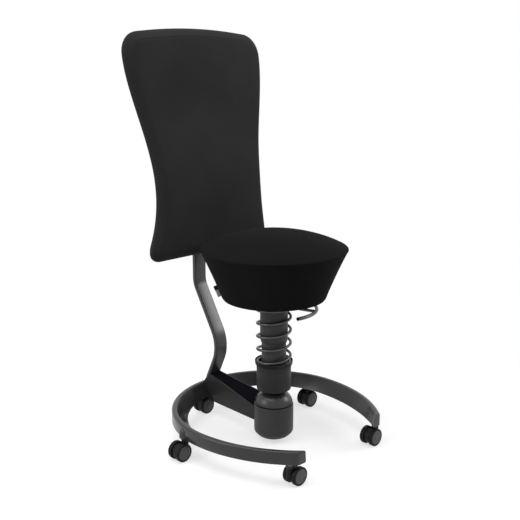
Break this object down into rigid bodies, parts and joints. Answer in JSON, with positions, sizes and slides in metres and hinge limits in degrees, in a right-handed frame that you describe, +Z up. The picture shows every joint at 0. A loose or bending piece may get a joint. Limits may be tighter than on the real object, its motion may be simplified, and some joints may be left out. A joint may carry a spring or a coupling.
{
  "type": "balance stool",
  "caption": "Sprung, tilting balance stool with a domed padded seat, a waisted backrest on a curved flat upright, and an open foot ring on twin-wheel casters.",
  "frame": {"origin": "the column's axis where it meets the floor, 10 mm below the pot's flat underside", "axes": "+Z up along the column; the backrest and upright stand at +Y, so a sitter faces -Y; +X is on the sitter's left"},
  "size_m": [0.5799, 0.5963, 1.136],
  "materials": {
    "painted_ring": "satin",
    "painted_dark": "satin",
    "painted_grey": "satin",
    "steel": "satin",
    "bright_steel": "polished",
    "rubber": "matte",
    "plastic": "matte",
    "wheel": "matte",
    "fabric": "woven",
    "tag": "woven"
  },
  "bodies": {
    "base": {"foot_ring": "painted_ring", "rear_arm": "painted_dark", "arm_cover": "rubber", "pot": "painted_dark", "tilt_cup_lower": "rubber", "tilt_cup_upper": "rubber", "pot_collar": "painted_dark", "seal_ring": "rubber", "boot_cap": "painted_dark", "upright": "painted_grey", "upright_screws": "steel", "caster_stems": "steel", "grip_rings": "steel"},
    "tilt_middle": {"tilt_ring": "steel"},
    "column": {"column_post": "steel", "lower_tube": "painted_dark", "spring_cup": "plastic", "guide_tube": "painted_dark", "guide_bush": "plastic", "coil_spring": "steel"},
    "preload": {"preload_ring": "painted_dark"},
    "bounce": {"slide_sleeve": "painted_dark", "top_dish": "painted_dark", "lift_outer_tube": "painted_dark", "lift_liner": "plastic", "thrust_bearing": "steel"},
    "rod": {"piston_rod": "bright_steel", "rod_clip": "steel"},
    "seat": {"pressure_tube": "bright_steel", "seat_mount": "painted_dark", "seat_board": "plastic", "seat_screws": "steel", "seat_cushion": "fabric", "seat_tag": "tag", "lever_pin": "steel"},
    "lever": {"height_lever": "steel", "lever_caps": "rubber"},
    "release": {"release_pin": "steel"},
    "backrest": {"back_shell": "plastic", "back_cushion": "fabric", "back_carrier": "plastic", "carrier_screws": "steel", "clamp_pad": "rubber"},
    "knob": {"clamp_knob": "plastic"},
    "caster_1": {"caster_1_hood": "plastic"},
    "caster_1_wheel_a": {"caster_1_wheel_a": "wheel"},
    "caster_1_wheel_b": {"caster_1_wheel_b": "wheel"},
    "caster_2": {"caster_2_hood": "plastic"},
    "caster_2_wheel_a": {"caster_2_wheel_a": "wheel"},
    "caster_2_wheel_b": {"caster_2_wheel_b": "wheel"},
    "caster_3": {"caster_3_hood": "plastic"},
    "caster_3_wheel_a": {"caster_3_wheel_a": "wheel"},
    "caster_3_wheel_b": {"caster_3_wheel_b": "wheel"},
    "caster_4": {"caster_4_hood": "plastic"},
    "caster_4_wheel_a": {"caster_4_wheel_a": "wheel"},
    "caster_4_wheel_b": {"caster_4_wheel_b": "wheel"},
    "caster_5": {"caster_5_hood": "plastic"},
    "caster_5_wheel_a": {"caster_5_wheel_a": "wheel"},
    "caster_5_wheel_b": {"caster_5_wheel_b": "wheel"}
  },
  "joints": [
    {"name": "tilt_pitch", "type": "hinge", "parent": "base", "child": "tilt_middle", "pos_m": [0, 0, 0.054], "axis": [1, 0, 0], "range_deg": [-2, 5], "stiffness_Nm_per_rad": 500},
    {"name": "tilt_roll", "type": "hinge", "parent": "tilt_middle", "child": "column", "pos_m": [0, 0, 0.054], "axis": [0, 1, 0], "range_deg": [-5, 5], "stiffness_Nm_per_rad": 500},
    {"name": "preload_turn", "type": "hinge", "parent": "column", "child": "preload", "pos_m": [0, 0, 0.2185], "axis": [0, 0, 1], "range_deg": [-180, 180]},
    {"name": "seat_bounce", "type": "slide", "parent": "column", "child": "bounce", "axis": [0, 0, -1], "range_m": [0, 0.05], "stiffness_N_per_m": 16000, "springref_m": -0.015, "deforming": ["coil_spring"]},
    {"name": "seat_swivel", "type": "hinge", "parent": "bounce", "child": "rod", "pos_m": [0, 0, 0.2], "axis": [0, 0, 1], "continuous": true},
    {"name": "seat_lift", "type": "slide", "parent": "rod", "child": "seat", "axis": [0, 0, 1], "range_m": [0, 0.1]},
    {"name": "lever_lift", "type": "hinge", "parent": "seat", "child": "lever", "pos_m": [0.01842, -0.03324, 0.41265], "axis": [-0.8746, -0.4848, 0], "range_deg": [0, 5], "stiffness_Nm_per_rad": 3, "springref_deg": -4.58},
    {"name": "valve_press", "type": "slide", "parent": "seat", "child": "release", "axis": [0, 0, -1], "range_m": [0, 0.0034]},
    {"name": "backrest_height", "type": "slide", "parent": "base", "child": "backrest", "axis": [0, 0, 1], "range_m": [0, 0.06]},
    {"name": "knob_turn", "type": "hinge", "parent": "backrest", "child": "knob", "pos_m": [0, 0.3283, 0.636], "axis": [0, 1, 0], "range_deg": [0, 270]},
    {"name": "caster_1_swivel", "type": "hinge", "parent": "base", "child": "caster_1", "pos_m": [-0.17792, -0.226, 0.05], "axis": [0, 0, 1], "continuous": true},
    {"name": "caster_1_wheel_a_spin", "type": "hinge", "parent": "caster_1", "child": "caster_1_wheel_a", "pos_m": [-0.15892, -0.226, 0.025], "axis": [0, 1, 0], "continuous": true},
    {"name": "caster_1_wheel_b_spin", "type": "hinge", "parent": "caster_1", "child": "caster_1_wheel_b", "pos_m": [-0.15892, -0.226, 0.025], "axis": [0, 1, 0], "continuous": true},
    {"name": "caster_2_swivel", "type": "hinge", "parent": "base", "child": "caster_2", "pos_m": [0.17792, -0.226, 0.05], "axis": [0, 0, 1], "continuous": true},
    {"name": "caster_2_wheel_a_spin", "type": "hinge", "parent": "caster_2", "child": "caster_2_wheel_a", "pos_m": [0.15892, -0.226, 0.025], "axis": [0, 1, 0], "continuous": true},
    {"name": "caster_2_wheel_b_spin", "type": "hinge", "parent": "caster_2", "child": "caster_2_wheel_b", "pos_m": [0.15892, -0.226, 0.025], "axis": [0, 1, 0], "continuous": true},
    {"name": "caster_3_swivel", "type": "hinge", "parent": "base", "child": "caster_3", "pos_m": [-0.25988, 0.08444, 0.05], "axis": [0, 0, 1], "continuous": true},
    {"name": "caster_3_wheel_a_spin", "type": "hinge", "parent": "caster_3", "child": "caster_3_wheel_a", "pos_m": [-0.27888, 0.08444, 0.025], "axis": [0, 1, 0], "continuous": true},
    {"name": "caster_3_wheel_b_spin", "type": "hinge", "parent": "caster_3", "child": "caster_3_wheel_b", "pos_m": [-0.27888, 0.08444, 0.025], "axis": [0, 1, 0], "continuous": true},
    {"name": "caster_4_swivel", "type": "hinge", "parent": "base", "child": "caster_4", "pos_m": [0.25988, 0.08444, 0.05], "axis": [0, 0, 1], "continuous": true},
    {"name": "caster_4_wheel_a_spin", "type": "hinge", "parent": "caster_4", "child": "caster_4_wheel_a", "pos_m": [0.24088, 0.08444, 0.025], "axis": [0, 1, 0], "continuous": true},
    {"name": "caster_4_wheel_b_spin", "type": "hinge", "parent": "caster_4", "child": "caster_4_wheel_b", "pos_m": [0.24088, 0.08444, 0.025], "axis": [0, 1, 0], "continuous": true},
    {"name": "caster_5_swivel", "type": "hinge", "parent": "base", "child": "caster_5", "pos_m": [0, 0.2785, 0.05], "axis": [0, 0, 1], "continuous": true},
    {"name": "caster_5_wheel_a_spin", "type": "hinge", "parent": "caster_5", "child": "caster_5_wheel_a", "pos_m": [-0.019, 0.2785, 0.025], "axis": [0, 1, 0], "continuous": true},
    {"name": "caster_5_wheel_b_spin", "type": "hinge", "parent": "caster_5", "child": "caster_5_wheel_b", "pos_m": [-0.019, 0.2785, 0.025], "axis": [0, 1, 0], "continuous": true}
  ],
  "couplings": [
    {"joint": "valve_press", "follows": "lever_lift", "m_per_rad": 0.038}
  ]
}
